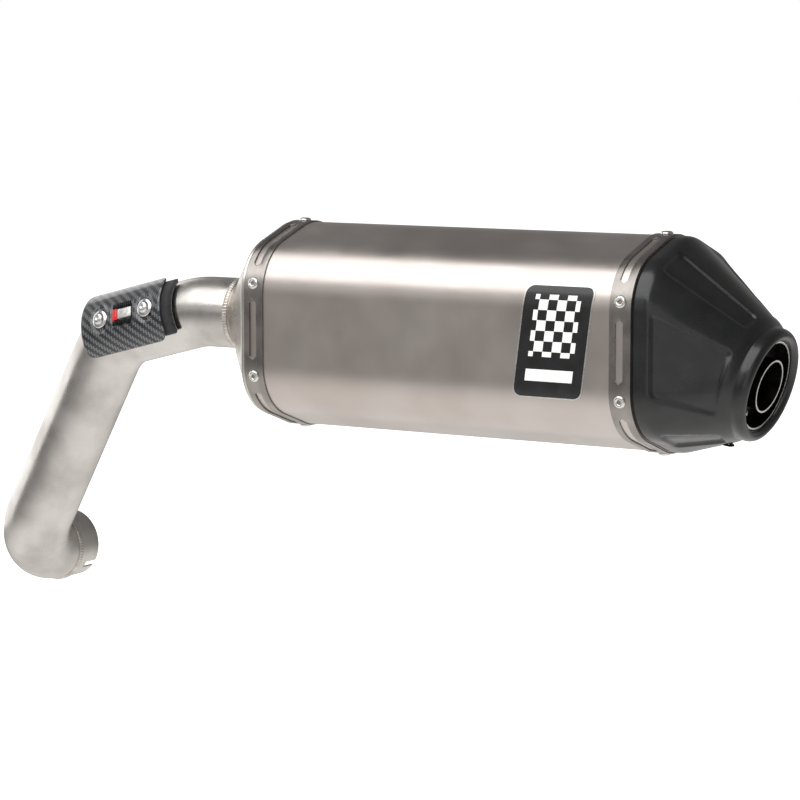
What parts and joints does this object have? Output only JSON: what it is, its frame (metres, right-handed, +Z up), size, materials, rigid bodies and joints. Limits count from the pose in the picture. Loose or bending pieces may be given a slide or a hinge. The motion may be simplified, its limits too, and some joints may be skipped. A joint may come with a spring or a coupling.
{
  "type": "racing exhaust system",
  "caption": "Slip-on motorcycle exhaust: bent link pipe with heat shield, six-sided packed can with riveted bands and a black end cap holding a removable noise insert.",
  "frame": {"origin": "centre of the slip socket's mouth, which opens towards +Y", "axes": "+X along the can from inlet to outlet, +Y out of the socket's mouth, towards the vehicle, +Z up"},
  "size_m": [0.6749, 0.1573, 0.2976],
  "materials": {
    "titanium_sleeve": "satin titanium sheet",
    "stainless_pipe": "satin stainless tube",
    "titanium_cap": "satin formed titanium",
    "band_steel": "brushed strip",
    "rivet_steel": "polished rivets",
    "weld_steel": "TIG weld bead",
    "inner_steel": "mill finish",
    "packing_wool": "needled glass fibre",
    "steel_wool": "steel wool",
    "black_cap": "black heat-resistant coating, fine texture",
    "black_steel": "black coated steel",
    "zinc_bolt": "bright zinc",
    "grommet_rubber": "moulded rubber",
    "plate_black": "black plate with light border",
    "carbon_twill": "clear-coated carbon twill",
    "pad_black": "black heat-resistant pad",
    "badge_metal": "brushed badge with red block"
  },
  "bodies": {
    "root": {"slip_socket": "stainless_pipe", "socket_weld": "weld_steel", "link_pipe": "stainless_pipe", "inlet_weld": "weld_steel", "inlet_cone": "titanium_cap", "front_band": "band_steel", "front_band_rivets": "rivet_steel", "outer_sleeve": "titanium_sleeve", "rear_band": "band_steel", "rear_band_rivets": "rivet_steel", "front_plate": "inner_steel", "perforated_core": "inner_steel", "wool_wrap": "steel_wool", "glass_packing": "packing_wool", "rear_plate": "inner_steel", "outlet_tube": "inner_steel", "end_cap": "black_cap", "bolt_boss": "inner_steel", "hanger_bracket": "titanium_cap", "bracket_rivets": "rivet_steel", "hanger_grommet": "grommet_rubber", "hanger_bush": "zinc_bolt", "sleeve_plate": "plate_black", "shield_bosses": "stainless_pipe", "shield_pad": "pad_black", "heat_shield": "carbon_twill", "shield_washers": "zinc_bolt", "shield_bolts": "zinc_bolt", "shield_badge": "badge_metal"},
    "insert": {"insert_tube": "inner_steel", "insert_flange": "black_steel", "insert_rivets": "rivet_steel"},
    "bolt": {"insert_bolt": "black_steel"}
  },
  "joints": [
    {"name": "insert_slide", "type": "slide", "parent": "root", "child": "insert", "axis": [0.9659, 0, -0.2588], "range_m": [0, 0.055]},
    {"name": "bolt_back_out", "type": "slide", "parent": "root", "child": "bolt", "axis": [-0.2588, 0, -0.9659], "range_m": [0, 0.014]}
  ]
}
